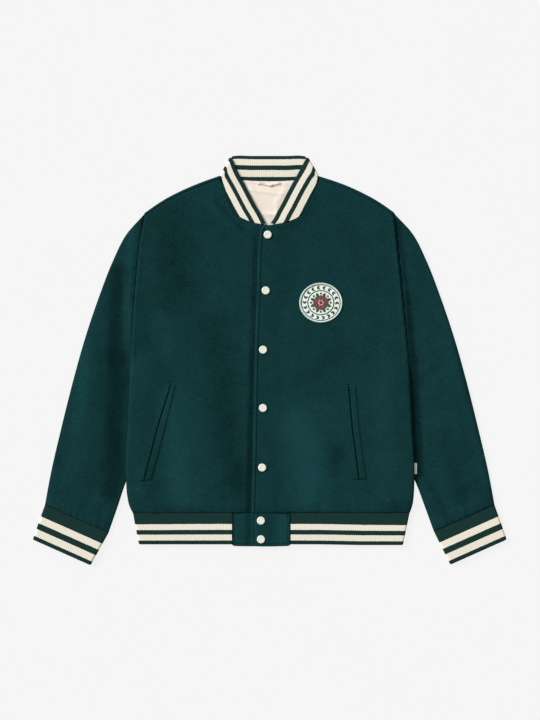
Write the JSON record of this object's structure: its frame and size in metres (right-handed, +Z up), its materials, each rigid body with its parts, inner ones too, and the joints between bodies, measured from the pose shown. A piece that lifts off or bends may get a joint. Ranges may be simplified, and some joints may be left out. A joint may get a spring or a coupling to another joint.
{
  "type": "bomber jacket",
  "caption": "Wool bomber jacket laid flat on its back, fronts closed by snaps, with striped rib collar, cuffs and hem band, hem tabs, slanted welt pockets and a chest patch.",
  "frame": {"origin": "middle of the flat underside, under the middle of the jacket's box", "axes": "+X to the wearer's left and across the spread sleeves, +Y from the hem to the collar, +Z up from the surface the jacket lies on"},
  "size_m": [0.8988, 0.7723, 0.0178],
  "materials": {
    "melton_wool": "felted melton wool, dark teal green",
    "tab_wool": "felted melton wool, dark teal green",
    "rib_knit": "rib knit, dark green with cream stripes",
    "lining": "cream satin lining",
    "embroidery": "embroidery thread on twill",
    "snap_enamel": "cream enamelled snap cap"
  },
  "bodies": {
    "root": {"back_panel": "melton_wool", "front_left": "melton_wool", "front_right": "melton_wool", "sleeve_left": "melton_wool", "sleeve_right": "melton_wool", "cuff_left": "rib_knit", "cuff_right": "rib_knit", "hem_rib": "rib_knit", "collar_rib": "rib_knit", "hem_tab_left": "tab_wool", "hem_tab_right": "tab_wool", "pocket_welt_left": "melton_wool", "pocket_welt_right": "melton_wool", "neck_lining": "lining", "hanger_loop": "lining", "side_label": "lining", "chest_patch": "embroidery", "snap_1": "snap_enamel", "snap_2": "snap_enamel", "snap_3": "snap_enamel", "snap_4": "snap_enamel", "snap_5": "snap_enamel", "snap_6": "snap_enamel", "snap_7": "snap_enamel"}
  },
  "joints": []
}
